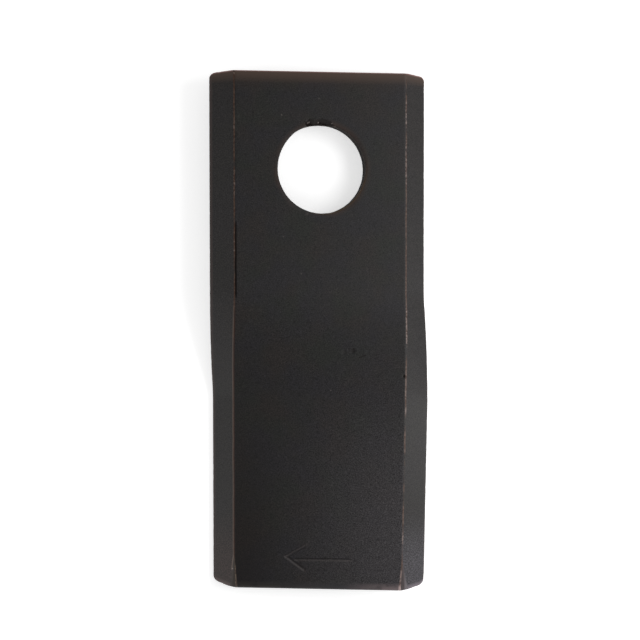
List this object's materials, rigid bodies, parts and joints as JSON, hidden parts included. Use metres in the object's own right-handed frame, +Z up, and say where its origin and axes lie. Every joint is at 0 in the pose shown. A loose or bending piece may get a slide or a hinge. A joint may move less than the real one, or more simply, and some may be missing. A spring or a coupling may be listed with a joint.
{
  "type": "disc mower blade",
  "caption": "Twisted spring-steel knife for a disc mower, bevelled along both long edges, with a round hole for its bolt near the flat end.",
  "frame": {"origin": "on the floor that the blade lies on, under the centre of its bounding box", "axes": "+Y along the blade towards the end with the bolt hole, +Z up from the floor, +X to the right with the bevelled face up"},
  "size_m": [0.0452, 0.107, 0.0089],
  "materials": {
    "blackened_steel": "dark oiled forge-black steel, bare and brownish along the worn ridges"
  },
  "bodies": {
    "root": {"blade": "blackened_steel"}
  },
  "joints": []
}
